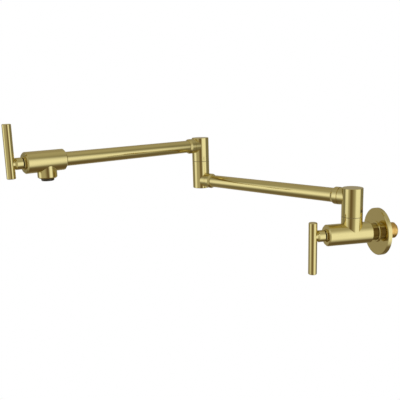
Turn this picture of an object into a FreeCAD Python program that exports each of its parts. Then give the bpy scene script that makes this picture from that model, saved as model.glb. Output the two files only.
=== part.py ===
"""Wall-mounted pot filler with a two-arm swing spout and a quarter-turn valve at each end.

Frame: +Z up, the wall is the plane y = 0, the tap stands out of it towards -Y, and the origin is
where the supply inlet's axis meets the wall. Millimetres and degrees.
"""
import FreeCAD, Part
import math
import os

import Sketcher

DRIVING = {
    # supply inlet and wall flange
    "inlet_thread_radius": 10.48,
    "inlet_thread_behind_wall": 20.0,
    "inlet_thread_before_wall": 3.0,
    "inlet_end_chamfer": 2.0,
    "inlet_neck_radius": 11.2,
    "inlet_engagement": 9.0,
    "flange_radius": 31.0,
    "flange_thickness": 5.6,
    "flange_edge_chamfer": 0.8,
    "flange_rim_width": 2.6,
    "flange_plate_thickness": 2.4,
    "flange_hub_radius": 14.0,
    "flange_hub_rise": 1.6,
    "flange_seal_wire_radius": 0.8,
    "flange_bore_clearance": 0.3,
    # valve bodies
    "body_radius": 14.0,
    "body_chamfer": 1.6,
    "post_from_wall": 39.8,
    "inlet_body_back": 25.2,
    "inlet_body_front": 36.0,
    "outlet_body_back": 24.6,
    "outlet_body_front": 30.0,
    "chamber_radius": 10.5,
    "passage_radius": 6.0,
    # swivel posts
    "post_radius": 13.5,
    "post_edge_chamfer": 0.5,
    "wall_seam_height": 23.4,
    "washer_thickness": 0.7,
    "washer_inset": 0.35,
    "head_below_arm": 24.6,
    "head_above_arm": 12.4,
    "head_roof": 5.2,
    "base_below_arm": 12.4,
    "base_above_arm": 31.4,
    # swivel spigots with their seals and retaining screws
    "spigot_radius": 8.5,
    "spigot_bore_radius": 5.5,
    "spigot_engagement": 8.0,
    "spigot_height": 15.6,
    "spigot_lead": 0.6,
    "swivel_clearance": 0.06,
    "seal_wire_radius": 0.9,
    "seal_groove_slack": 0.12,
    "lower_seal_height": 2.8,
    "upper_seal_height": 12.2,
    "screw_height": 7.4,
    "screw_groove_width": 3.4,
    "screw_groove_depth": 1.6,
    "screw_radius": 2.1,
    "screw_tip_radius": 1.35,
    "screw_tip_gap": 0.3,
    "screw_recess": 0.5,
    "screw_key_radius": 1.1,
    "screw_key_depth": 1.8,
    # arms
    "lower_arm_angle": 214.2,
    "lower_arm_reach": 269.5,
    "upper_arm_angle": 298.2,
    "upper_arm_reach": 262.1,
    "tube_radius": 9.5,
    "tube_wall": 1.2,
    "boss_radius": 11.2,
    "boss_length": 3.3,
    "socket_sink": 1.5,
    "collar_radius": 11.5,
    "collar_length": 10.2,
    "collar_taper": 3.2,
    "collar_lip_radius": 9.9,
    "collar_groove_width": 0.7,
    "collar_groove_radius": 10.5,
    "outlet_socket_depth": 12.0,
    "fitting_bore_radius": 7.6,
    # nozzle and aerator
    "nozzle_radius": 12.6,
    "nozzle_drop": 22.2,
    "nozzle_chamfer": 1.4,
    "aerator_thread_radius": 10.2,
    "aerator_thread_length": 6.4,
    "aerator_skirt_radius": 8.4,
    "aerator_skirt_length": 3.6,
    "aerator_skirt_chamfer": 0.9,
    "aerator_bore_radius": 6.9,
    "aerator_washer_thickness": 1.2,
    "screen_thickness": 1.4,
    "screen_recess": 1.0,
    "screen_hole_radius": 0.75,
    "screen_inner_ring": 2.6,
    "screen_outer_ring": 5.2,
    # quarter-turn cartridges
    "cartridge_length": 38.0,
    "cartridge_radius": 9.0,
    "cartridge_collar_back": 14.0,
    "cartridge_collar_front": 5.0,
    "cartridge_neck_radius": 6.6,
    "seat_seal_thickness": 1.5,
    "seat_seal_bore_radius": 6.0,
    "disc_thickness": 3.0,
    "disc_radius": 7.9,
    "moving_disc_clearance": 0.3,
    "disc_water_film": 0.03,
    "disc_port_radius": 2.1,
    "disc_port_offset": 4.4,
    "driver_thickness": 2.6,
    "driver_radius": 7.2,
    "driver_gap": 0.4,
    "window_radius": 2.6,
    "stem_radius": 4.0,
    "stem_clearance": 0.05,
    "stem_reach": 9.6,
    "stem_seal_back": 9.0,
    "stem_seal_wire_radius": 0.8,
    "bonnet_radius": 8.6,
    "bonnet_rise": 1.7,
    "bonnet_edge_chamfer": 0.5,
    # handles
    "hub_radius": 7.6,
    "hub_gap": 0.9,
    "hub_edge_chamfer": 0.5,
    "hub_nose_radius": 5.2,
    "hub_nose_sink": 0.8,
    "hub_nose_taper": 2.2,
    "hub_tenon_radius": 3.4,
    "hub_tenon_depth": 3.0,
    "bar_distance": 17.6,
    "bar_radius": 5.6,
    "bar_edge_chamfer": 0.7,
    "bar_long_end": 50.1,
    "bar_short_end": 18.4,
    "grub_radius": 1.6,
    "grub_distance": 5.6,
    "grub_key_radius": 0.8,
    "grub_key_depth": 1.4,
    # how far cuts run past the faces that they open
    "overrun": 1.0,
}

INNER_HOLES = 6
OUTER_HOLES = 12
TURN_DEG = 360.0

doc = FreeCAD.newDocument("pot_filler")
sheet = doc.addObject("Spreadsheet::Sheet", "Sizes")
pieces = []


class Size:
    """A number together with the sheet expression that gives it, so sums of sizes stay bound to the cells."""

    def __init__(self, value, text):
        self.value = value
        self.text = text

    def __add__(self, other):
        return Size(self.value + other.value, f"({self.text} + {other.text})")

    def __sub__(self, other):
        return Size(self.value - other.value, f"({self.text} - {other.text})")

    def __neg__(self):
        return Size(-self.value, f"(-{self.text})")

    def __mul__(self, other):
        return Size(self.value * other.value, f"({self.text} * {other.text})")

    def is_zero(self):
        return self.text == "0"


ZERO = Size(0.0, "0")


class Sizes:
    """The sheet's driving dimensions as attributes."""


s = Sizes()


def fill_sheet():
    for row, (alias, value) in enumerate(DRIVING.items(), start=1):
        sheet.set(f"A{row}", alias)
        sheet.set(f"B{row}", str(value))
        sheet.setAlias(f"B{row}", alias)
        setattr(s, alias, Size(value, f"Sizes.{alias}"))
    doc.recompute()


def cosine(angle):
    return Size(math.cos(math.radians(angle.value)), f"cos({angle.text} * 1deg)")


def sine(angle):
    return Size(math.sin(math.radians(angle.value)), f"sin({angle.text} * 1deg)")


class Frame:
    """A place in the tap: a point, and the heading of its local +X in the level plane."""

    def __init__(self, x, y, z, heading):
        self.x = x
        self.y = y
        self.z = z
        self.heading = heading

    def ahead(self, distance):
        """The frame moved along its own +X."""
        return Frame(self.x + distance * cosine(self.heading), self.y + distance * sine(self.heading),
                     self.z, self.heading)

    def raised(self, height):
        return Frame(self.x, self.y, self.z + height, self.heading)

    def turned_to(self, heading):
        return Frame(self.x, self.y, self.z, heading)


def new_piece(label, frame):
    """An empty body of the tap, placed in its frame."""
    body = doc.addObject("PartDesign::Body", label)
    body.Label = label
    body.Placement = FreeCAD.Placement(
        FreeCAD.Vector(frame.x.value, frame.y.value, frame.z.value),
        FreeCAD.Rotation(FreeCAD.Vector(0, 0, 1), frame.heading.value),
    )
    for axis, place in (("x", frame.x), ("y", frame.y), ("z", frame.z)):
        body.setExpression(f"Placement.Base.{axis}", place.text)
    body.setExpression("Placement.Rotation.Angle", f"{frame.heading.text} * 1deg")
    pieces.append(body)
    return body


def origin_plane(body, plane):
    return next(f for f in body.Origin.OriginFeatures if f.Role == f"{plane}_Plane")


def pin_point(sketch, edge, end, x, y):
    """Ties one end of a sketch edge to the sheet."""
    for kind, size, axis in (("DistanceX", x, -2), ("DistanceY", y, -1)):
        if size.is_zero():
            sketch.addConstraint(Sketcher.Constraint("PointOnObject", edge, end, axis))
        else:
            rule = Sketcher.Constraint(kind, -1, 1, edge, end, size.value)
            index = sketch.addConstraint(rule)
            sketch.setExpression(f"Constraints[{index}]", size.text)


def new_sketch(body, plane):
    sketch = body.newObject("Sketcher::SketchObject", f"{body.Name}_profile")
    sketch.AttachmentSupport = [(origin_plane(body, plane), "")]
    sketch.MapMode = "FlatFace"
    return sketch


def axis_line(sketch, start, end):
    """A construction line that a profile turns about."""
    line = Part.LineSegment(FreeCAD.Vector(start[0].value, start[1].value, 0),
                            FreeCAD.Vector(end[0].value, end[1].value, 0))
    edge = sketch.addGeometry(line, True)
    pin_point(sketch, edge, 1, *start)
    pin_point(sketch, edge, 2, *end)
    return (sketch, ["Axis0"])


def spin(body, sketch, axis, cut):
    """Turns a sketch all the way round, adding metal or cutting it away."""
    kind = "PartDesign::Groove" if cut else "PartDesign::Revolution"
    feature = body.newObject(kind, f"{body.Name}_turned")
    feature.Profile = sketch
    feature.ReferenceAxis = axis
    feature.Angle = TURN_DEG
    doc.recompute()
    return feature


def turn(body, points, about="H", plane="XZ", cut=False, line=None):
    """Turns a closed outline about the sketch's level axis H, its upright axis V, or a line of its own."""
    sketch = new_sketch(body, plane)
    count = len(points)
    for i, (x, y) in enumerate(points):
        nx, ny = points[(i + 1) % count]
        sketch.addGeometry(Part.LineSegment(FreeCAD.Vector(x.value, y.value, 0),
                                            FreeCAD.Vector(nx.value, ny.value, 0)))
    for i in range(count):
        sketch.addConstraint(Sketcher.Constraint("Coincident", i, 2, (i + 1) % count, 1))
    for i, (x, y) in enumerate(points):
        pin_point(sketch, i, 1, x, y)
    axis = axis_line(sketch, *line) if line else (sketch, [f"{about}_Axis"])
    return spin(body, sketch, axis, cut)


def turn_rings(body, centres, wire_radius, about):
    """Turns one round wire section per centre, for seal rings."""
    sketch = new_sketch(body, "XZ")
    for i, (x, y) in enumerate(centres):
        middle = FreeCAD.Vector(x.value, y.value, 0)
        sketch.addGeometry(Part.Circle(middle, FreeCAD.Vector(0, 0, 1), wire_radius.value))
        pin_point(sketch, i, 3, x, y)
        index = sketch.addConstraint(Sketcher.Constraint("Radius", i, wire_radius.value))
        sketch.setExpression(f"Constraints[{index}]", wire_radius.text)
    return spin(body, sketch, (sketch, [f"{about}_Axis"]), False)


def rod(start, end, radius, inner=ZERO):
    """Outline along the level axis, solid or tubular."""
    return [(start, inner), (end, inner), (end, radius), (start, radius)]


def post(bottom, top, radius, inner=ZERO):
    """Outline along the upright axis, solid or tubular."""
    return [(inner, bottom), (radius, bottom), (radius, top), (inner, top)]


def bevelled_rod(start, end, radius, bevel):
    """A solid rod along the level axis with bevelled ends."""
    return [
        (start, ZERO),
        (end, ZERO),
        (end, radius - bevel),
        (end - bevel, radius),
        (start + bevel, radius),
        (start, radius - bevel),
    ]


def cross_hole(body, x, bottom, top, radius, plane="XZ"):
    """Drills an upright hole of the sketch plane at a distance x along the level axis."""
    outline = [(x, bottom), (x + radius, bottom), (x + radius, top), (x, top)]
    return turn(body, outline, plane=plane, cut=True, line=((x, bottom), (x, top)))


def level_hole(body, y, start, end, radius, plane="XZ"):
    """Drills a level hole of the sketch plane at a height y."""
    outline = [(start, y), (end, y), (end, y + radius), (start, y + radius)]
    return turn(body, outline, plane=plane, cut=True, line=((start, y), (end, y)))


def inlet_nipple(wall):
    """The supply nipple: a threaded tail behind the wall and a plain neck that screws into the valve."""
    body = new_piece("inlet_nipple", wall)
    tail = -s.inlet_thread_behind_wall
    shoulder = s.inlet_thread_before_wall
    nose = s.post_from_wall - s.inlet_body_back + s.inlet_engagement
    turn(body, [
        (tail - s.inlet_end_chamfer, s.fitting_bore_radius),
        (nose, s.fitting_bore_radius),
        (nose, s.inlet_neck_radius),
        (shoulder, s.inlet_neck_radius),
        (shoulder, s.inlet_thread_radius),
        (tail, s.inlet_thread_radius),
        (tail - s.inlet_end_chamfer, s.inlet_thread_radius - s.inlet_end_chamfer),
    ])


def flange_bore():
    return s.inlet_neck_radius + s.flange_bore_clearance


def flange_seal_place():
    """Half way through the flange's hub."""
    return s.flange_thickness + (s.flange_hub_rise - s.flange_plate_thickness) * HALF_SHARE


def wall_flange(wall):
    """The round escutcheon: a dished plate with a rim against the wall and a raised hub round the neck."""
    body = new_piece("wall_flange", wall)
    face = s.flange_thickness
    inside = s.flange_thickness - s.flange_plate_thickness
    hub = s.flange_thickness + s.flange_hub_rise
    turn(body, [
        (inside, flange_bore()),
        (hub, flange_bore()),
        (hub, s.flange_hub_radius - s.flange_edge_chamfer),
        (hub - s.flange_edge_chamfer, s.flange_hub_radius),
        (face, s.flange_hub_radius),
        (face, s.flange_radius - s.flange_edge_chamfer),
        (face - s.flange_edge_chamfer, s.flange_radius),
        (ZERO, s.flange_radius),
        (ZERO, s.flange_radius - s.flange_rim_width),
        (inside, s.flange_radius - s.flange_rim_width),
    ])
    seal_middle = s.inlet_neck_radius + s.flange_seal_wire_radius
    groove = s.flange_seal_wire_radius + s.seal_groove_slack
    middle = flange_seal_place()
    turn(body, [
        (middle - groove, s.inlet_neck_radius),
        (middle + groove, s.inlet_neck_radius),
        (middle + groove, seal_middle + groove),
        (middle - groove, seal_middle + groove),
    ], cut=True)


def flange_o_ring(wall):
    """Holds the flange against the wall by its grip on the neck."""
    body = new_piece("flange_o_ring", wall)
    turn_rings(body, [(flange_seal_place(), s.inlet_neck_radius + s.flange_seal_wire_radius)],
               s.flange_seal_wire_radius, "H")


def bore_valve_chamber(body, front, way_in):
    """The chamber that a cartridge screws into, and the way in behind its seat."""
    seat = front - s.cartridge_length
    turn(body, rod(seat, front + s.overrun, s.chamber_radius), cut=True)
    turn(body, rod(way_in, seat + s.overrun, s.seat_seal_bore_radius), cut=True)


def inlet_valve_body(valve):
    """The wall valve: a level barrel with the swivel post's fixed foot on top."""
    body = new_piece("inlet_valve_body", valve)
    back = -s.inlet_body_back
    foot_top = s.wall_seam_height - s.washer_thickness
    turn(body, bevelled_rod(back, s.inlet_body_front, s.body_radius, s.body_chamfer))
    turn(body, post(ZERO, foot_top, s.post_radius), about="V")
    neck_end = back + s.inlet_engagement
    turn(body, rod(back - s.overrun, neck_end, s.inlet_neck_radius), cut=True)
    bore_valve_chamber(body, s.inlet_body_front, neck_end - s.overrun)
    spigot_foot = foot_top - s.spigot_engagement
    turn(body, post(ZERO, spigot_foot + s.overrun, s.passage_radius), about="V", cut=True)
    turn(body, post(spigot_foot, foot_top + s.overrun, s.spigot_radius), about="V", cut=True)


def seal_seat_radius():
    """Middle of a swivel seal's wire, so that the ring just clears the turning bore."""
    return s.spigot_radius - s.seal_wire_radius


def spigot(label, frame):
    """The hollow pin that a swivel head turns on; the frame's origin is at the seam."""
    body = new_piece(label, frame)
    bottom = -s.washer_thickness - s.spigot_engagement
    turn(body, [
        (s.spigot_bore_radius, bottom),
        (s.spigot_radius, bottom),
        (s.spigot_radius, s.spigot_height - s.spigot_lead),
        (s.spigot_radius - s.spigot_lead, s.spigot_height),
        (s.spigot_bore_radius, s.spigot_height),
    ], about="V")
    groove_floor = seal_seat_radius() - s.seal_wire_radius
    half = s.seal_wire_radius + s.seal_groove_slack
    for height in (s.lower_seal_height, s.upper_seal_height):
        turn(body, post(height - half, height + half, s.spigot_radius + s.overrun, groove_floor),
             about="V", cut=True)
    screw_low = s.screw_height - s.screw_groove_width * HALF_SHARE
    turn(body, post(screw_low, screw_low + s.screw_groove_width, s.spigot_radius + s.overrun,
                    s.spigot_radius - s.screw_groove_depth), about="V", cut=True)


def spigot_o_rings(label, frame):
    body = new_piece(label, frame)
    heights = (s.lower_seal_height, s.upper_seal_height)
    turn_rings(body, [(seal_seat_radius(), h) for h in heights], s.seal_wire_radius, "V")


def swivel_washer(label, frame):
    """The thin bearing washer that shows as the dark seam of a swivel post."""
    body = new_piece(label, frame)
    turn(body, post(-s.washer_thickness, ZERO, s.post_radius - s.washer_inset, s.spigot_radius), about="V")


def boss_mouth():
    return s.post_radius + s.boss_length


def socket_floor():
    """Where an arm tube's end bears, measured from the post's axis."""
    return s.post_radius - s.socket_sink


def add_boss(body):
    """The side boss that an arm tube is brazed into, along the level axis."""
    turn(body, rod(ZERO, boss_mouth(), s.boss_radius))


def bore_boss(body):
    turn(body, rod(ZERO, socket_floor() + s.overrun, s.fitting_bore_radius), cut=True)
    turn(body, rod(socket_floor(), boss_mouth() + s.overrun, s.tube_radius), cut=True)


def arm_collar(label, arm):
    """The tapered collar that covers a brazed joint; a fine groove parts it from the boss."""
    body = new_piece(label, arm)
    start = boss_mouth()
    shoulder = start + s.collar_groove_width
    end = start + s.collar_length
    turn(body, [
        (start, s.tube_radius),
        (end, s.tube_radius),
        (end, s.collar_lip_radius),
        (end - s.collar_taper, s.collar_radius),
        (shoulder, s.collar_radius),
        (shoulder, s.collar_groove_radius),
        (start, s.collar_groove_radius),
    ])


def swivel_bore():
    return s.spigot_radius + s.swivel_clearance


def swivel_head(label, arm):
    """The turning top of a swivel post: a capped barrel with the arm's boss on its side."""
    body = new_piece(label, arm)
    top = s.head_above_arm
    edge = s.post_edge_chamfer
    turn(body, [
        (ZERO, -s.head_below_arm),
        (s.post_radius, -s.head_below_arm),
        (s.post_radius, top - edge),
        (s.post_radius - edge, top),
        (ZERO, top),
    ], about="V")
    add_boss(body)
    turn(body, post(-s.head_below_arm - s.overrun, top - s.head_roof, swivel_bore()), about="V", cut=True)
    bore_boss(body)
    level_hole(body, s.screw_height - s.head_below_arm, -s.post_radius - s.overrun, -s.spigot_radius,
               s.screw_radius)


def retaining_screw(label, arm):
    """The socket grub screw whose tip rides in the spigot's groove and keeps the head on."""
    body = new_piece(label, arm)
    level = s.screw_height - s.head_below_arm
    outer = -s.post_radius + s.screw_recess
    neck = -swivel_bore()
    tip = -s.spigot_radius + s.screw_groove_depth - s.screw_tip_gap
    turn(body, [
        (outer, level),
        (tip, level),
        (tip, level + s.screw_tip_radius),
        (neck, level + s.screw_tip_radius),
        (neck, level + s.screw_radius),
        (outer, level + s.screw_radius),
    ], line=((outer, level), (tip, level)))
    level_hole(body, level, outer - s.overrun, outer + s.screw_key_depth, s.screw_key_radius)


def arm_tube(label, arm, start, end):
    body = new_piece(label, arm)
    turn(body, rod(start, end, s.tube_radius, s.tube_radius - s.tube_wall))


def elbow_base(elbow):
    """The elbow's lower half: boss for the lower arm, closed foot, and seat for the elbow spigot."""
    body = new_piece("elbow_base", elbow)
    bottom = -s.base_below_arm
    edge = s.post_edge_chamfer
    top = s.base_above_arm - s.washer_thickness
    turn(body, [
        (ZERO, bottom),
        (s.post_radius - edge, bottom),
        (s.post_radius, bottom + edge),
        (s.post_radius, top),
        (ZERO, top),
    ], about="V")
    add_boss(body)
    bore_boss(body)
    spigot_foot = top - s.spigot_engagement
    turn(body, post(ZERO, spigot_foot + s.overrun, s.passage_radius), about="V", cut=True)
    turn(body, post(spigot_foot, top + s.overrun, s.spigot_radius), about="V", cut=True)


def outlet_valve_body(nozzle):
    """The spout valve: a level barrel on the arm's end with the nozzle boss below it."""
    body = new_piece("outlet_valve_body", nozzle)
    back = -s.outlet_body_back
    rim = -s.nozzle_drop
    turn(body, bevelled_rod(back, s.outlet_body_front, s.body_radius, s.body_chamfer))
    turn(body, [
        (ZERO, ZERO),
        (ZERO, rim),
        (s.nozzle_radius - s.nozzle_chamfer, rim),
        (s.nozzle_radius, rim + s.nozzle_chamfer),
        (s.nozzle_radius, ZERO),
    ], about="V")
    tube_end = back + s.outlet_socket_depth
    turn(body, rod(back - s.overrun, tube_end, s.tube_radius), cut=True)
    bore_valve_chamber(body, s.outlet_body_front, tube_end - s.overrun)
    thread_top = rim + s.aerator_thread_length
    washer_top = thread_top + s.aerator_washer_thickness
    turn(body, post(washer_top - s.overrun, ZERO, s.passage_radius), about="V", cut=True)
    turn(body, post(rim - s.overrun, washer_top, s.aerator_thread_radius), about="V", cut=True)


def aerator_housing(nozzle):
    """The screw-in aerator cup whose skirt shows below the nozzle."""
    body = new_piece("aerator_housing", nozzle)
    rim = -s.nozzle_drop
    foot = rim - s.aerator_skirt_length
    bevel = s.aerator_skirt_chamfer
    turn(body, [
        (s.aerator_bore_radius, foot),
        (s.aerator_skirt_radius - bevel, foot),
        (s.aerator_skirt_radius, foot + bevel),
        (s.aerator_skirt_radius, rim),
        (s.aerator_thread_radius, rim),
        (s.aerator_thread_radius, rim + s.aerator_thread_length),
        (s.aerator_bore_radius, rim + s.aerator_thread_length),
    ], about="V")


def aerator_washer(nozzle):
    body = new_piece("aerator_washer", nozzle)
    bottom = s.aerator_thread_length - s.nozzle_drop
    turn(body, post(bottom, bottom + s.aerator_washer_thickness, s.aerator_thread_radius,
                    s.passage_radius), about="V")


def aerator_screen(nozzle):
    """The perforated stream former inside the aerator cup."""
    body = new_piece("aerator_screen", nozzle)
    bottom = s.screen_recess - s.aerator_skirt_length - s.nozzle_drop
    top = bottom + s.screen_thickness
    turn(body, post(bottom, top, s.aerator_bore_radius), about="V")
    cross_hole(body, ZERO, bottom - s.overrun, top + s.overrun, s.screen_hole_radius)
    for ring, holes in ((s.screen_inner_ring, INNER_HOLES), (s.screen_outer_ring, OUTER_HOLES)):
        first = cross_hole(body, ring, bottom - s.overrun, top + s.overrun, s.screen_hole_radius)
        pattern = body.newObject("PartDesign::PolarPattern", f"{body.Name}_holes")
        pattern.Originals = [first]
        pattern.Axis = (first.Profile[0], ["V_Axis"])
        pattern.Angle = TURN_DEG
        pattern.Occurrences = holes
        body.Tip = pattern
        doc.recompute()


def cartridge(prefix, face):
    """The quarter-turn headwork's fixed pieces; the frame's origin is at the barrel's open face."""
    rear = s.seat_seal_thickness - s.cartridge_length
    disc_front = rear + s.disc_thickness
    driver_front = disc_front + s.disc_water_film + s.disc_thickness + s.driver_thickness + s.driver_gap

    housing = new_piece(f"{prefix}_cartridge", face)
    collar_back = -s.cartridge_collar_back
    collar_front = -s.cartridge_collar_front
    turn(housing, [
        (rear, ZERO),
        (ZERO, ZERO),
        (ZERO, s.cartridge_neck_radius),
        (collar_front, s.cartridge_neck_radius),
        (collar_front, s.chamber_radius),
        (collar_back, s.chamber_radius),
        (collar_back, s.cartridge_radius),
        (rear, s.cartridge_radius),
    ])
    turn(housing, rod(rear - s.overrun, driver_front, s.disc_radius), cut=True)
    turn(housing, rod(rear, s.overrun, s.stem_radius + s.stem_clearance), cut=True)
    reach = s.cartridge_radius + s.overrun
    cross_hole(housing, driver_front, -reach, reach, s.window_radius)

    fixed = new_piece(f"{prefix}_fixed_disc", face)
    turn(fixed, rod(rear, disc_front, s.disc_radius))
    for offset in (s.disc_port_offset, -s.disc_port_offset):
        level_hole(fixed, offset, rear - s.overrun, disc_front + s.overrun, s.disc_port_radius)

    seal = new_piece(f"{prefix}_seat_seal", face)
    turn(seal, rod(-s.cartridge_length, rear, s.disc_radius, s.seat_seal_bore_radius))

    bonnet = new_piece(f"{prefix}_bonnet", face)
    edge = s.bonnet_edge_chamfer
    turn(bonnet, [
        (collar_front, s.cartridge_neck_radius),
        (s.bonnet_rise, s.cartridge_neck_radius),
        (s.bonnet_rise, s.bonnet_radius - edge),
        (s.bonnet_rise - edge, s.bonnet_radius),
        (ZERO, s.bonnet_radius),
        (ZERO, s.chamber_radius),
        (collar_front, s.chamber_radius),
    ])


def handle(prefix, face, low, high):
    """The turning pieces of a valve: lever bar, hub, grub screw, stem and moving disc."""
    disc_rear = s.seat_seal_thickness - s.cartridge_length + s.disc_thickness + s.disc_water_film
    disc_front = disc_rear + s.disc_thickness
    hub_start = s.bonnet_rise + s.hub_gap
    hub_edge = s.hub_edge_chamfer
    tenon_end = s.bar_distance - s.bar_radius + s.hub_tenon_depth

    bar = new_piece(f"{prefix}_handle_bar", face)
    bevel = s.bar_edge_chamfer
    side = s.bar_distance + s.bar_radius
    axis = ((s.bar_distance, low), (s.bar_distance, high))
    turn(bar, [
        (s.bar_distance, low),
        (side - bevel, low),
        (side, low + bevel),
        (side, high - bevel),
        (side - bevel, high),
        (s.bar_distance, high),
    ], line=axis)
    turn(bar, rod(hub_start, tenon_end, s.hub_tenon_radius), cut=True)

    hub = new_piece(f"{prefix}_handle_hub", face)
    nose = s.bar_distance - s.bar_radius + s.hub_nose_sink
    turn(hub, [
        (hub_start, ZERO),
        (s.bar_distance, ZERO),
        (s.bar_distance, s.hub_nose_radius),
        (nose, s.hub_nose_radius),
        (nose - s.hub_nose_taper, s.hub_radius),
        (hub_start + hub_edge, s.hub_radius),
        (hub_start, s.hub_radius - hub_edge),
    ])
    turn(hub, rod(hub_start - s.overrun, s.stem_reach, s.stem_radius), cut=True)
    reach = s.hub_radius + s.overrun
    cross_hole(hub, s.bar_distance, -reach, reach, s.bar_radius)
    turn(hub, rod(s.stem_reach, tenon_end, s.hub_tenon_radius))
    cross_hole(hub, s.grub_distance, -reach, ZERO, s.grub_radius)

    grub = new_piece(f"{prefix}_handle_screw", face)
    head = -s.hub_radius + s.screw_recess
    turn(grub, [
        (s.grub_distance, head),
        (s.grub_distance + s.grub_radius, head),
        (s.grub_distance + s.grub_radius, -s.stem_radius),
        (s.grub_distance, -s.stem_radius),
    ], line=((s.grub_distance, head), (s.grub_distance, -s.stem_radius)))
    cross_hole(grub, s.grub_distance, head - s.overrun, head + s.grub_key_depth, s.grub_key_radius)

    stem = new_piece(f"{prefix}_cartridge_stem", face)
    driver_front = disc_front + s.driver_thickness
    turn(stem, [
        (disc_front, ZERO),
        (s.stem_reach, ZERO),
        (s.stem_reach, s.stem_radius),
        (driver_front, s.stem_radius),
        (driver_front, s.driver_radius),
        (disc_front, s.driver_radius),
    ])
    half = s.stem_seal_wire_radius + s.seal_groove_slack
    seal_middle = s.stem_radius - s.stem_seal_wire_radius
    turn(stem, rod(-s.stem_seal_back - half, half - s.stem_seal_back, s.stem_radius + s.overrun,
                   seal_middle - s.stem_seal_wire_radius), cut=True)
    for offset in (s.disc_port_offset, -s.disc_port_offset):
        level_hole(stem, offset, disc_front - s.overrun, driver_front + s.driver_gap,
                   s.disc_port_radius, plane="XY")

    seal = new_piece(f"{prefix}_stem_o_ring", face)
    turn_rings(seal, [(-s.stem_seal_back, seal_middle)], s.stem_seal_wire_radius, "H")

    moving = new_piece(f"{prefix}_moving_disc", face)
    turn(moving, rod(disc_rear, disc_front, s.disc_radius - s.moving_disc_clearance))
    for offset in (s.disc_port_offset, -s.disc_port_offset):
        level_hole(moving, offset, disc_rear - s.overrun, disc_front + s.overrun,
                   s.disc_port_radius, plane="XY")


fill_sheet()

HALF_SHARE = Size(0.5, "0.5")
OUT_OF_WALL = Size(-90.0, "-90")
HALF_TURN = Size(180.0, "180")

# Level places: the wall valve, the two swivel posts and the nozzle.
wall_frame = Frame(ZERO, ZERO, ZERO, OUT_OF_WALL)
valve_frame = wall_frame.ahead(s.post_from_wall)
lower_arm_height = s.wall_seam_height + s.head_below_arm
lower_arm_frame = valve_frame.raised(lower_arm_height).turned_to(s.lower_arm_angle)
elbow_frame = lower_arm_frame.ahead(s.lower_arm_reach).turned_to(s.lower_arm_angle - HALF_TURN)
elbow_seam_frame = elbow_frame.raised(s.base_above_arm)
upper_arm_frame = elbow_seam_frame.raised(s.head_below_arm).turned_to(s.upper_arm_angle)
nozzle_frame = upper_arm_frame.ahead(s.upper_arm_reach)
inlet_face_frame = valve_frame.ahead(s.inlet_body_front)
outlet_face_frame = nozzle_frame.ahead(s.outlet_body_front)
tube_start = socket_floor()

# Wall valve, fixed to the supply.
inlet_nipple(wall_frame)
wall_flange(wall_frame)
flange_o_ring(wall_frame)
inlet_valve_body(valve_frame)
cartridge("inlet", inlet_face_frame)
spigot("wall_spigot", valve_frame.raised(s.wall_seam_height))
spigot_o_rings("wall_spigot_o_rings", valve_frame.raised(s.wall_seam_height))
swivel_washer("wall_swivel_washer", valve_frame.raised(s.wall_seam_height))

# Lower arm, turning on the wall post.
swivel_head("wall_swivel_head", lower_arm_frame)
retaining_screw("wall_retaining_screw", lower_arm_frame)
arm_collar("lower_arm_wall_collar", lower_arm_frame)
arm_tube("lower_arm_tube", lower_arm_frame, tube_start, s.lower_arm_reach - tube_start)
arm_collar("lower_arm_elbow_collar", elbow_frame)
elbow_base(elbow_frame)
spigot("elbow_spigot", elbow_seam_frame)
spigot_o_rings("elbow_spigot_o_rings", elbow_seam_frame)
swivel_washer("elbow_swivel_washer", elbow_seam_frame)

# Upper arm, turning on the elbow, with the spout valve at its end.
swivel_head("elbow_swivel_head", upper_arm_frame)
retaining_screw("elbow_retaining_screw", upper_arm_frame)
arm_collar("upper_arm_collar", upper_arm_frame)
arm_tube("upper_arm_tube", upper_arm_frame, tube_start,
         s.upper_arm_reach - s.outlet_body_back + s.outlet_socket_depth)
outlet_valve_body(nozzle_frame)
cartridge("outlet", outlet_face_frame)
aerator_housing(nozzle_frame)
aerator_washer(nozzle_frame)
aerator_screen(nozzle_frame)

# Handles: the wall valve's lever hangs down, the spout valve's stands up.
handle("inlet", inlet_face_frame, -s.bar_long_end, s.bar_short_end)
handle("outlet", outlet_face_frame, -s.bar_short_end, s.bar_long_end)

doc.recompute()
for item in doc.Objects:
    if any(word in item.State for word in ("Invalid", "Error")):
        raise RuntimeError(f"{item.Name} failed: {item.State}")
os.makedirs("parts", exist_ok=True)
for piece in pieces:
    shape = piece.Shape
    if shape.isNull() or not shape.isValid() or not shape.Solids:
        raise RuntimeError(f"{piece.Label} is not a valid solid")
    shape.exportStep(os.path.join("parts", f"{piece.Label}.step"))
    print(f"{piece.Label}: {len(shape.Solids)} solid(s), {shape.Volume:.1f} mm3")
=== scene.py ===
import math

import bmesh
import bpy
from mathutils import Matrix, Vector


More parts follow.
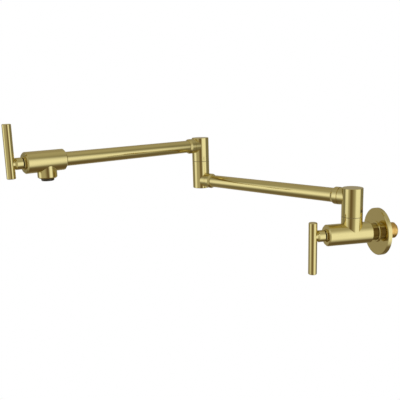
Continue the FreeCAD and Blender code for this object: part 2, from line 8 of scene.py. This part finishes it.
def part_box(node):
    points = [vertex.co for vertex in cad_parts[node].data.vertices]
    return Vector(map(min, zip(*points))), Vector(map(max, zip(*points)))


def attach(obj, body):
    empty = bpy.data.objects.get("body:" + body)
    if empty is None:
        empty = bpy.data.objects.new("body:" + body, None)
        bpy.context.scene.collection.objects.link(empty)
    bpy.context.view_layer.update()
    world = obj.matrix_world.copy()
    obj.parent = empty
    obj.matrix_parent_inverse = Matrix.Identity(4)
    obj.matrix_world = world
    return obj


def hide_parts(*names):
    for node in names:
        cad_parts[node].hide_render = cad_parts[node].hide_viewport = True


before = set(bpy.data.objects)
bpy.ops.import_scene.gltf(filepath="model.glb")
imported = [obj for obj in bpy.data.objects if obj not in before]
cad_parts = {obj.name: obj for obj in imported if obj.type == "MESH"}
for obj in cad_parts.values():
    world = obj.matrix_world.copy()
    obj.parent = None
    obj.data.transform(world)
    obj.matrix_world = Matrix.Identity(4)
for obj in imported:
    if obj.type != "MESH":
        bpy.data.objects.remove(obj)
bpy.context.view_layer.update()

# Headings of the main axes in degrees, from +X towards +Y
LOWER_ARM_DEG = 214.2
UPPER_ARM_DEG = 298.2
OUT_OF_WALL_DEG = -90.0
QUARTER_TURN = 0.5 * math.pi


# Shader nodes
def new_material(name):
    """A material with its node tree and its surface shader."""
    material = bpy.data.materials.new(name)
    material.use_nodes = True
    tree = material.node_tree
    return material, tree, tree.nodes["Principled BSDF"]


def link_or_set(tree, socket, value):
    """Links a socket to another node's output, or sets it to a plain value."""
    if isinstance(value, bpy.types.NodeSocket):
        tree.links.new(value, socket)
    else:
        socket.default_value = value


def node(tree, kind, **inputs):
    """A node with its inputs linked or set by name, where an underscore stands for a space."""
    made = tree.nodes.new(kind)
    for key, value in inputs.items():
        link_or_set(tree, made.inputs[key.replace("_", " ")], value)
    return made


def maths(tree, kind, operation, *values):
    """A math node of this kind, with its inputs linked or set in order."""
    made = tree.nodes.new(kind)
    made.operation = operation
    for socket, value in zip(made.inputs, values):
        link_or_set(tree, socket, value)
    return made


def colour_mix(tree, factor, first, second):
    """The first colour where the factor is zero and the second where it is one."""
    made = tree.nodes.new("ShaderNodeMix")
    made.data_type = "RGBA"
    for key, value in (("Factor", factor), ("A", first), ("B", second)):
        link_or_set(tree, made.inputs[key], value)
    return made.outputs["Result"]


def shader_mix(tree, factor, first, second):
    """The first shader where the factor is zero and the second where it is one."""
    made = tree.nodes.new("ShaderNodeMixShader")
    for socket, value in zip(made.inputs, (factor, first, second)):
        tree.links.new(value, socket)
    return made.outputs["Shader"]


def emission(tree, colour):
    """A surface that glows in this colour."""
    return node(tree, "ShaderNodeEmission", Color=colour).outputs["Emission"]


def ramp(tree, value, zero, full):
    """Zero on one side of a range, one on the other, and smooth between."""
    rising = zero < full
    made = node(tree, "ShaderNodeMapRange", Value=value, From_Min=min(zero, full), From_Max=max(zero, full),
                To_Min=0.0 if rising else 1.0, To_Max=1.0 if rising else 0.0)
    made.interpolation_type = "SMOOTHSTEP"
    return made.outputs["Result"]


# Materials
GOLD_LIGHT = (0.80, 0.69, 0.32)
GOLD_DEEP = (0.74, 0.63, 0.28)
GOLD_ROUGHNESS = 0.07
FLANGE_ROUGHNESS = 0.05
GRAIN = {"Scale": 1.0, "Detail": 3.0, "Roughness": 0.6}
SMEAR = {"Scale": 38.0, "Detail": 4.0, "Roughness": 0.55}
# Grains per metre along the turning rings and across them
GRAIN_ALONG = 60.0
GRAIN_ACROSS = 5200.0
LEVEL_STRETCH = (GRAIN_ACROSS, GRAIN_ALONG, GRAIN_ALONG)
UPRIGHT_STRETCH = (GRAIN_ALONG, GRAIN_ALONG, GRAIN_ACROSS)
# Grain and smear added up where a metal is smoothest and roughest, and the shares of its roughness there
SMOOTH_WEAR = 0.6
ROUGH_WEAR = 1.4
SMOOTH_SHARE = 0.85
ROUGH_SHARE = 1.2
BRUSH = {"Strength": 0.2, "Distance": 0.00002}
MOULD = {"Detail": 4.0, "Roughness": 0.6}
MOULD_STRENGTH = 0.4


def grain_place(tree, place, heading_deg, upright):
    """A place turned and stretched so that fine grain runs round a piece whose axis has this heading."""
    turn = node(tree, "ShaderNodeMapping", Vector=place, Rotation=(0.0, 0.0, math.radians(heading_deg)))
    turn.vector_type = "TEXTURE"
    stretch = UPRIGHT_STRETCH if upright else LEVEL_STRETCH
    return node(tree, "ShaderNodeMapping", Vector=turn.outputs["Vector"], Scale=stretch).outputs["Vector"]


def metal(name, light, deep, roughness, heading_deg=0.0, upright=False):
    """A turned and brushed metal: fine rings round the axis, slow tone changes and faint handling marks."""
    material, tree, shader = new_material(name)
    place = node(tree, "ShaderNodeTexCoord").outputs["Object"]
    rings = grain_place(tree, place, heading_deg, upright)
    grain = node(tree, "ShaderNodeTexNoise", Vector=rings, **GRAIN).outputs["Fac"]
    smear = node(tree, "ShaderNodeTexNoise", Vector=place, **SMEAR).outputs["Fac"]
    wear = maths(tree, "ShaderNodeMath", "ADD", grain, smear).outputs["Value"]
    polish = node(tree, "ShaderNodeMapRange", Value=wear, From_Min=SMOOTH_WEAR, From_Max=ROUGH_WEAR,
                  To_Min=SMOOTH_SHARE * roughness, To_Max=ROUGH_SHARE * roughness)
    bump = node(tree, "ShaderNodeBump", Height=grain, **BRUSH)
    tree.links.new(colour_mix(tree, smear, (*light, 1.0), (*deep, 1.0)), shader.inputs["Base Color"])
    tree.links.new(polish.outputs["Result"], shader.inputs["Roughness"])
    tree.links.new(bump.outputs["Normal"], shader.inputs["Normal"])
    shader.inputs["Metallic"].default_value = 1.0
    return material


def gold(name, heading_deg=0.0, upright=False, roughness=GOLD_ROUGHNESS):
    """The plated gold of the outer pieces, with its grain round this axis."""
    return metal(name, GOLD_LIGHT, GOLD_DEEP, roughness, heading_deg, upright)


def moulded(name, light, deep, roughness, grain_scale, grain_depth):
    """Rubber, plastic or ceramic with a fine moulded surface."""
    material, tree, shader = new_material(name)
    place = node(tree, "ShaderNodeTexCoord").outputs["Object"]
    grain = node(tree, "ShaderNodeTexNoise", Vector=place, Scale=grain_scale, **MOULD).outputs["Fac"]
    bump = node(tree, "ShaderNodeBump", Height=grain, Strength=MOULD_STRENGTH, Distance=grain_depth)
    tree.links.new(colour_mix(tree, grain, (*light, 1.0), (*deep, 1.0)), shader.inputs["Base Color"])
    tree.links.new(bump.outputs["Normal"], shader.inputs["Normal"])
    shader.inputs["Roughness"].default_value = roughness
    return material


gold_upright = gold("gold_upright", upright=True)
gold_wall = gold("gold_wall_axis", OUT_OF_WALL_DEG)
gold_flange = gold("gold_flange", OUT_OF_WALL_DEG, roughness=FLANGE_ROUGHNESS)
# Painted shade: the neck's plating is given a darker, paler gold than the rest, standing in for the shade
# between the barrel and the flange
gold_neck_painted_shade = metal("gold_neck_painted_shade", light=(0.62, 0.55, 0.33), deep=(0.56, 0.49, 0.29),
                  roughness=FLANGE_ROUGHNESS, heading_deg=OUT_OF_WALL_DEG)
gold_lower = gold("gold_lower_arm", LOWER_ARM_DEG)
gold_upper = gold("gold_upper_arm", UPPER_ARM_DEG)
copper = metal("bare_copper_brass", light=(0.95, 0.73, 0.34), deep=(0.86, 0.63, 0.27),
               roughness=0.24, heading_deg=OUT_OF_WALL_DEG)
plain_brass = metal("machined_brass", light=(0.72, 0.56, 0.28), deep=(0.62, 0.47, 0.22),
                    roughness=0.30, heading_deg=OUT_OF_WALL_DEG)
screw_steel = metal("screw_steel", light=(0.30, 0.29, 0.27), deep=(0.20, 0.19, 0.18),
                    roughness=0.35, heading_deg=LOWER_ARM_DEG)
rubber = moulded("seal_rubber", light=(0.022, 0.022, 0.022), deep=(0.035, 0.034, 0.033),
                 roughness=0.62, grain_scale=900.0, grain_depth=0.00002)
bearing = moulded("bearing_plastic", light=(0.30, 0.235, 0.12), deep=(0.36, 0.285, 0.15),
                  roughness=0.5, grain_scale=700.0, grain_depth=0.00001)
ceramic = moulded("valve_ceramic", light=(0.86, 0.85, 0.82), deep=(0.80, 0.79, 0.76),
                  roughness=0.18, grain_scale=400.0, grain_depth=0.000005)
cup = moulded("aerator_plastic", light=(0.05, 0.038, 0.022), deep=(0.07, 0.053, 0.03),
              roughness=0.32, grain_scale=500.0, grain_depth=0.000008)
screen = moulded("screen_plastic", light=(0.62, 0.62, 0.60), deep=(0.54, 0.54, 0.52),
                 roughness=0.45, grain_scale=600.0, grain_depth=0.00001)

FINISHES = (
    (gold_upright, ("swivel_head", "elbow_base", "handle_bar")),
    (gold_wall, ("inlet_valve_body", "inlet_bonnet", "inlet_handle_hub")),
    (gold_lower, ("lower_arm",)),
    (gold_upper, ("upper_arm", "outlet_valve_body", "outlet_bonnet", "outlet_handle_hub")),
    (gold_flange, ("wall_flange",)),
    (copper, ("inlet_nipple",)),
    (rubber, ("o_ring", "seal", "aerator_washer")),
    (bearing, ("swivel_washer",)),
    (ceramic, ("_disc",)),
    (screw_steel, ("screw",)),
    (screen, ("aerator_screen",)),
    (cup, ("aerator_housing",)),
)


def finish_of(name):
    """The finish whose words are in a node's name, or machined brass for the rest."""
    for material, words in FINISHES:
        if any(word in name for word in words):
            return material
    return plain_brass


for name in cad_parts:
    shown = bpy.data.objects[name]
    shown.data.materials.clear()
    shown.data.materials.append(finish_of(name))


# Supply nipple: a plated neck in front of the wall, its gold painted darker as shade, and a bare threaded
# tail behind it
THREAD_RADIUS = 0.01048
THREAD_PITCH = 0.001814
THREAD_DEPTH = 0.0010
THREAD_FROM_Y = -0.003
# Shares of the pitch and of the depth over one turn: the groove's floor, then the crest
THREAD_SHARES = ((0.0, 1.0), (0.14, 1.0), (0.44, 0.0), (0.70, 0.0))
TAIL_CHAMFER = 0.002
NECK_RADIUS = 0.0112
NIPPLE_BORE_RADIUS = 0.0076
ROUND_STEPS = 96
SHARP_EDGE_DEG = 40.0
MERGE_DISTANCE = 1e-6


def ring_point(step, y, radius):
    """A point round the inlet's axis."""
    angle = math.tau * step / ROUND_STEPS
    return (radius * math.cos(angle), y, radius * math.sin(angle))


def skin(grown, columns):
    """Faces between neighbouring columns of points."""
    rows = [[grown.verts.new(point) for point in column] for column in columns]
    for left, right in zip(rows, rows[1:]):
        for low in range(len(left) - 1):
            grown.faces.new((left[low], left[low + 1], right[low + 1], right[low]))


def turned(grown, outline):
    """An outline of (y, radius) points turned about the inlet's axis."""
    skin(grown, [[ring_point(step, y, radius) for y, radius in outline] for step in range(ROUND_STEPS + 1)])


def threaded(grown, start, end):
    """A helical thread about the inlet's axis, cut flush at its start and bevelled at its end."""
    turns = math.ceil((end - start) / THREAD_PITCH)
    columns = []
    for step in range(ROUND_STEPS + 1):
        column = []
        for turn in range(-1, turns + 1):
            for pitch_share, depth_share in THREAD_SHARES:
                y = start + THREAD_PITCH * (turn + pitch_share + step / ROUND_STEPS)
                y = min(max(y, start), end)
                bevel = max(0.0, y - (end - TAIL_CHAMFER))
                column.append(ring_point(step, y, THREAD_RADIUS - max(depth_share * THREAD_DEPTH, bevel)))
        columns.append(column)
    skin(grown, columns)


def settle(name, grown, material, body, node_name):
    """Closes the seams of a turned piece and hangs it on its body in a node's place."""
    bmesh.ops.remove_doubles(grown, verts=grown.verts, dist=MERGE_DISTANCE)
    bmesh.ops.dissolve_degenerate(grown, edges=grown.edges, dist=MERGE_DISTANCE)
    bmesh.ops.recalc_face_normals(grown, faces=grown.faces)
    mesh = bpy.data.meshes.new(name)
    grown.to_mesh(mesh)
    grown.free()
    mesh.shade_smooth()
    mesh.set_sharp_from_angle(angle=math.radians(SHARP_EDGE_DEG))
    mesh.materials.append(material)
    piece = bpy.data.objects.new(name, mesh)
    bpy.context.scene.collection.objects.link(piece)
    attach(piece, body)
    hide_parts(node_name)


nipple_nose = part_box("inlet_nipple")[0][1]
nipple_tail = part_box("inlet_nipple")[1][1]
tail = bmesh.new()
threaded(tail, THREAD_FROM_Y, nipple_tail)
turned(tail, [(nipple_tail, THREAD_RADIUS - TAIL_CHAMFER), (nipple_tail, NIPPLE_BORE_RADIUS),
              (THREAD_FROM_Y, NIPPLE_BORE_RADIUS), (THREAD_FROM_Y, THREAD_RADIUS - THREAD_DEPTH)])
settle("supply_thread", tail, copper, "wall_valve", "inlet_nipple")
neck = bmesh.new()
turned(neck, [(THREAD_FROM_Y, NIPPLE_BORE_RADIUS), (THREAD_FROM_Y, NECK_RADIUS), (nipple_nose, NECK_RADIUS),
              (nipple_nose, NIPPLE_BORE_RADIUS), (THREAD_FROM_Y, NIPPLE_BORE_RADIUS)])
settle("supply_neck", neck, gold_neck_painted_shade, "wall_valve", "inlet_nipple")


# Socket screws: two that keep the swivel heads on and two that fix the lever hubs
RETAINING_HEAD_FROM_AXIS = 0.0130
RETAINING_NECK_FROM_AXIS = 0.00856
RETAINING_TIP_FROM_AXIS = 0.0072
RETAINING_RADIUS = 0.0021
RETAINING_TIP_RADIUS = 0.00135
RETAINING_KEY_FLATS = 0.0020
RETAINING_KEY_DEPTH = 0.0018
GRUB_RADIUS = 0.0016
GRUB_KEY_FLATS = 0.0015
GRUB_KEY_DEPTH = 0.0014
SCREW_BEVEL = 0.00025
KEY_SIDES = 6


def key_radius(angle, flats):
    """Distance from the axis to the wall of a hexagon socket, this many metres across its flats."""
    side = math.tau / KEY_SIDES
    return 0.5 * flats / math.cos(angle % side - 0.5 * side)


def middle(node_name):
    """The middle of a node's box."""
    low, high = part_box(node_name)
    return 0.5 * (Vector(low) + Vector(high))


def socket_screw(node_name, body, head, outward, shank, radius, flats, depth):
    """A screw with a hexagon socket; its shank is a list of (distance below the head, radius) points."""
    turn_out = outward.to_track_quat("Z", "Y").to_matrix()
    columns = []
    for step in range(ROUND_STEPS + 1):
        angle = math.tau * step / ROUND_STEPS
        key = key_radius(angle, flats)
        outline = [(depth, 0.0), (depth, key), (0.0, key), (0.0, radius - SCREW_BEVEL), (SCREW_BEVEL, radius)]
        outline += shank + [(shank[-1][0], 0.0)]
        columns.append([head + turn_out @ Vector((far * math.cos(angle), far * math.sin(angle), -below))
                        for below, far in outline])
    grown = bmesh.new()
    skin(grown, columns)
    settle(f"socket_{node_name}", grown, screw_steel, body, node_name)


def retaining_screw(post, body, arm_deg):
    """The screw in a swivel head's back, opposite its arm, with its tip in the spigot's groove."""
    heading = math.radians(arm_deg)
    outward = -Vector((math.cos(heading), math.sin(heading), 0.0))
    axis = middle(f"{post}_spigot")
    axis.z = middle(f"{post}_retaining_screw").z
    neck_below = RETAINING_HEAD_FROM_AXIS - RETAINING_NECK_FROM_AXIS
    tip_below = RETAINING_HEAD_FROM_AXIS - RETAINING_TIP_FROM_AXIS
    shank = [(neck_below, RETAINING_RADIUS), (neck_below, RETAINING_TIP_RADIUS),
             (tip_below, RETAINING_TIP_RADIUS)]
    socket_screw(f"{post}_retaining_screw", body, axis + RETAINING_HEAD_FROM_AXIS * outward, outward, shank,
                 RETAINING_RADIUS, RETAINING_KEY_FLATS, RETAINING_KEY_DEPTH)


def grub_screw(valve):
    """The screw under a lever's hub."""
    low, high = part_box(f"{valve}_handle_screw")
    head = middle(f"{valve}_handle_screw")
    head.z = low[2]
    socket_screw(f"{valve}_handle_screw", f"{valve}_handle", head, Vector((0.0, 0.0, -1.0)),
                 [(high[2] - low[2], GRUB_RADIUS)], GRUB_RADIUS, GRUB_KEY_FLATS, GRUB_KEY_DEPTH)


retaining_screw("wall", "lower_arm", LOWER_ARM_DEG)
retaining_screw("elbow", "upper_arm", UPPER_ARM_DEG)
grub_screw("inlet")
grub_screw("outlet")


# Stage: plain white for the camera, a dim studio for the metal
WHITE = (1.0, 1.0, 1.0, 1.0)
FLAG_TONE = (0.175, 0.125, 0.07, 1.0)
FLAG_AT = (0.351, -0.31, 0.10)
FLAG_HEADING_DEG = 174.2
FLAG_SIZE = (0.678, 1.2)
FLAG_CORE_SHARE = 0.05
FLAG_EDGE_SHARE = 0.95
FLOOR_Z = -1.2
FLOOR_SIDE = 12.0
FLOOR_COLOUR = (0.82, 0.82, 0.81, 1.0)
FLOOR_ROUGHNESS = 0.9


def add_plane(name, size, at):
    """A flat square for the stage."""
    bpy.ops.mesh.primitive_plane_add(size=size, location=at)
    plane = bpy.context.object
    plane.name = name
    return plane


def soft_flag():
    """A dark upright card with soft sides beside the camera, seen only in the metal."""
    flag = add_plane("soft_flag", 1.0, FLAG_AT)
    flag.scale = (*FLAG_SIZE, 1.0)
    flag.rotation_euler = (QUARTER_TURN, 0.0, math.radians(FLAG_HEADING_DEG) + QUARTER_TURN)
    material, tree, _ = new_material("dark_flag")
    place = node(tree, "ShaderNodeTexCoord").outputs["Object"]
    sideways = node(tree, "ShaderNodeSeparateXYZ", Vector=place).outputs["X"]
    away = maths(tree, "ShaderNodeMath", "ABSOLUTE", sideways).outputs["Value"]
    cover = ramp(tree, away, 0.5 * FLAG_EDGE_SHARE, 0.5 * FLAG_CORE_SHARE)
    clear = node(tree, "ShaderNodeBsdfTransparent").outputs["BSDF"]
    look = shader_mix(tree, cover, clear, emission(tree, FLAG_TONE))
    tree.links.new(look, tree.nodes["Material Output"].inputs["Surface"])
    flag.data.materials.append(material)
    flag.visible_camera = False
    flag.visible_diffuse = False


def pale_floor():
    """A pale floor that the camera sees as white and the metal doesn't show."""
    floor = add_plane("floor", FLOOR_SIDE, (0.0, 0.0, FLOOR_Z))
    material, tree, shader = new_material("pale_floor")
    shader.inputs["Base Color"].default_value = FLOOR_COLOUR
    shader.inputs["Roughness"].default_value = FLOOR_ROUGHNESS
    path = node(tree, "ShaderNodeLightPath")
    clear = node(tree, "ShaderNodeBsdfTransparent").outputs["BSDF"]
    look = shader_mix(tree, path.outputs["Is Glossy Ray"], shader.outputs["BSDF"], clear)
    look = shader_mix(tree, path.outputs["Is Camera Ray"], look, emission(tree, WHITE))
    tree.links.new(look, tree.nodes["Material Output"].inputs["Surface"])
    floor.data.materials.append(material)


soft_flag()
pale_floor()


# Studio: a dim room, darker at its sides and below, with a soft panel at its left and two at its right
SHADE = (0.14, 0.10, 0.055, 1.0)
SIDE = (0.235, 0.22, 0.165, 1.0)
ROOM = (0.47, 0.445, 0.36, 1.0)
BACK = (0.38, 0.345, 0.27, 1.0)
PANEL = (1.04, 1.06, 1.06, 1.0)
# Elevations in degrees, from where a part of the room is missing to where it is full
ROOM_ABOVE = (23.5, 80.7)
SHADE_BELOW = (-80.0, -30.0)
# A heading, and degrees to each side of it, from where a part of the room is missing to where it is full
FRONT_ARC = (-22.0, 85.0, 40.0)
BACK_ARC = (-178.5, 57.5, 12.5)
SOFT_PANELS = (
    {"heading_deg": -89.0, "arc": (24.0, 3.0), "foot": (-39.0, -4.0), "head": (64.0, 0.0)},
    {"heading_deg": 32.0, "arc": (31.0, 7.0), "foot": (-76.0, -20.0), "head": (61.0, 11.5)},
    {"heading_deg": 55.0, "arc": (16.5, 5.0), "foot": (-57.5, -0.5), "head": (42.0, -7.0)},
)
LEVEL_ONLY = (1.0, 1.0, 0.0)

world = bpy.data.worlds.new("studio")
bpy.context.scene.world = world
world.use_nodes = True
sky = world.node_tree
direction = node(sky, "ShaderNodeTexCoord").outputs["Generated"]
height = node(sky, "ShaderNodeSeparateXYZ", Vector=direction).outputs["Z"]
flattened = maths(sky, "ShaderNodeVectorMath", "MULTIPLY", direction, LEVEL_ONLY).outputs["Vector"]
level = maths(sky, "ShaderNodeVectorMath", "NORMALIZE", flattened).outputs["Vector"]


def facing(heading_deg, zero_deg, full_deg):
    """How far a direction lies within an arc of headings."""
    heading = math.radians(heading_deg)
    ahead = (math.cos(heading), math.sin(heading), 0.0)
    closeness = maths(sky, "ShaderNodeVectorMath", "DOT_PRODUCT", level, ahead).outputs["Value"]
    return ramp(sky, closeness, math.cos(math.radians(zero_deg)), math.cos(math.radians(full_deg)))


def rise(zero_deg, full_deg):
    """How far a direction lies above, or below, a soft edge of elevation."""
    return ramp(sky, height, math.sin(math.radians(zero_deg)), math.sin(math.radians(full_deg)))


def times(first, second):
    """The product of two outputs."""
    return maths(sky, "ShaderNodeMath", "MULTIPLY", first, second).outputs["Value"]


def soft_panel(behind, heading_deg, arc, foot, head):
    """A bright panel on a heading; its arc, foot and head go from where it is missing to where it is full."""
    cover = times(facing(heading_deg, *arc), times(rise(*foot), rise(*head)))
    return colour_mix(sky, cover, behind, PANEL)


lit = colour_mix(sky, rise(*ROOM_ABOVE), SIDE, ROOM)
lit = colour_mix(sky, facing(*FRONT_ARC), lit, ROOM)
lit = colour_mix(sky, facing(*BACK_ARC), lit, BACK)
lit = colour_mix(sky, rise(*SHADE_BELOW), SHADE, lit)
for panel in SOFT_PANELS:
    lit = soft_panel(lit, **panel)
background = sky.nodes["Background"]
sky.links.new(lit, background.inputs["Color"])
for_camera = node(sky, "ShaderNodeLightPath").outputs["Is Camera Ray"]
sky_look = shader_mix(sky, for_camera, background.outputs["Background"], emission(sky, WHITE))
sky.links.new(sky_look, sky.nodes["World Output"].inputs["Surface"])

bpy.context.scene.view_settings.view_transform = "Standard"


# Camera
IMAGE_SIDE_PX = 400
FOCAL_PX = 526.38
SENSOR_MM = 36.0
NEAREST_SEEN = 0.01
CAMERA_AT = (0.61149, -0.36321, 0.17695)
CAMERA_YAW_DEG = 78.56
CAMERA_PITCH_DEG = 10.82
CAMERA_ROLL_DEG = -1.69


def camera_matrix():
    """The camera's place and turn: yaw from +Y towards -X, then pitch downwards, then roll."""
    yaw = math.radians(CAMERA_YAW_DEG)
    pitch = math.radians(CAMERA_PITCH_DEG)
    roll = math.radians(CAMERA_ROLL_DEG)
    ahead = Vector((-math.sin(yaw) * math.cos(pitch), math.cos(yaw) * math.cos(pitch), -math.sin(pitch)))
    across = Vector((math.cos(yaw), math.sin(yaw), 0.0))
    upward = across.cross(ahead)
    right = math.cos(roll) * across + math.sin(roll) * upward
    up = math.cos(roll) * upward - math.sin(roll) * across
    turn = Matrix((right, up, -ahead)).transposed().to_4x4()
    return Matrix.Translation(Vector(CAMERA_AT)) @ turn


lens = bpy.data.cameras.new("camera")
lens.sensor_fit = "HORIZONTAL"
lens.sensor_width = SENSOR_MM
lens.lens = FOCAL_PX * SENSOR_MM / IMAGE_SIDE_PX
lens.clip_start = NEAREST_SEEN
camera = bpy.data.objects.new("camera", lens)
bpy.context.scene.collection.objects.link(camera)
camera.matrix_world = camera_matrix()
bpy.context.scene.camera = camera
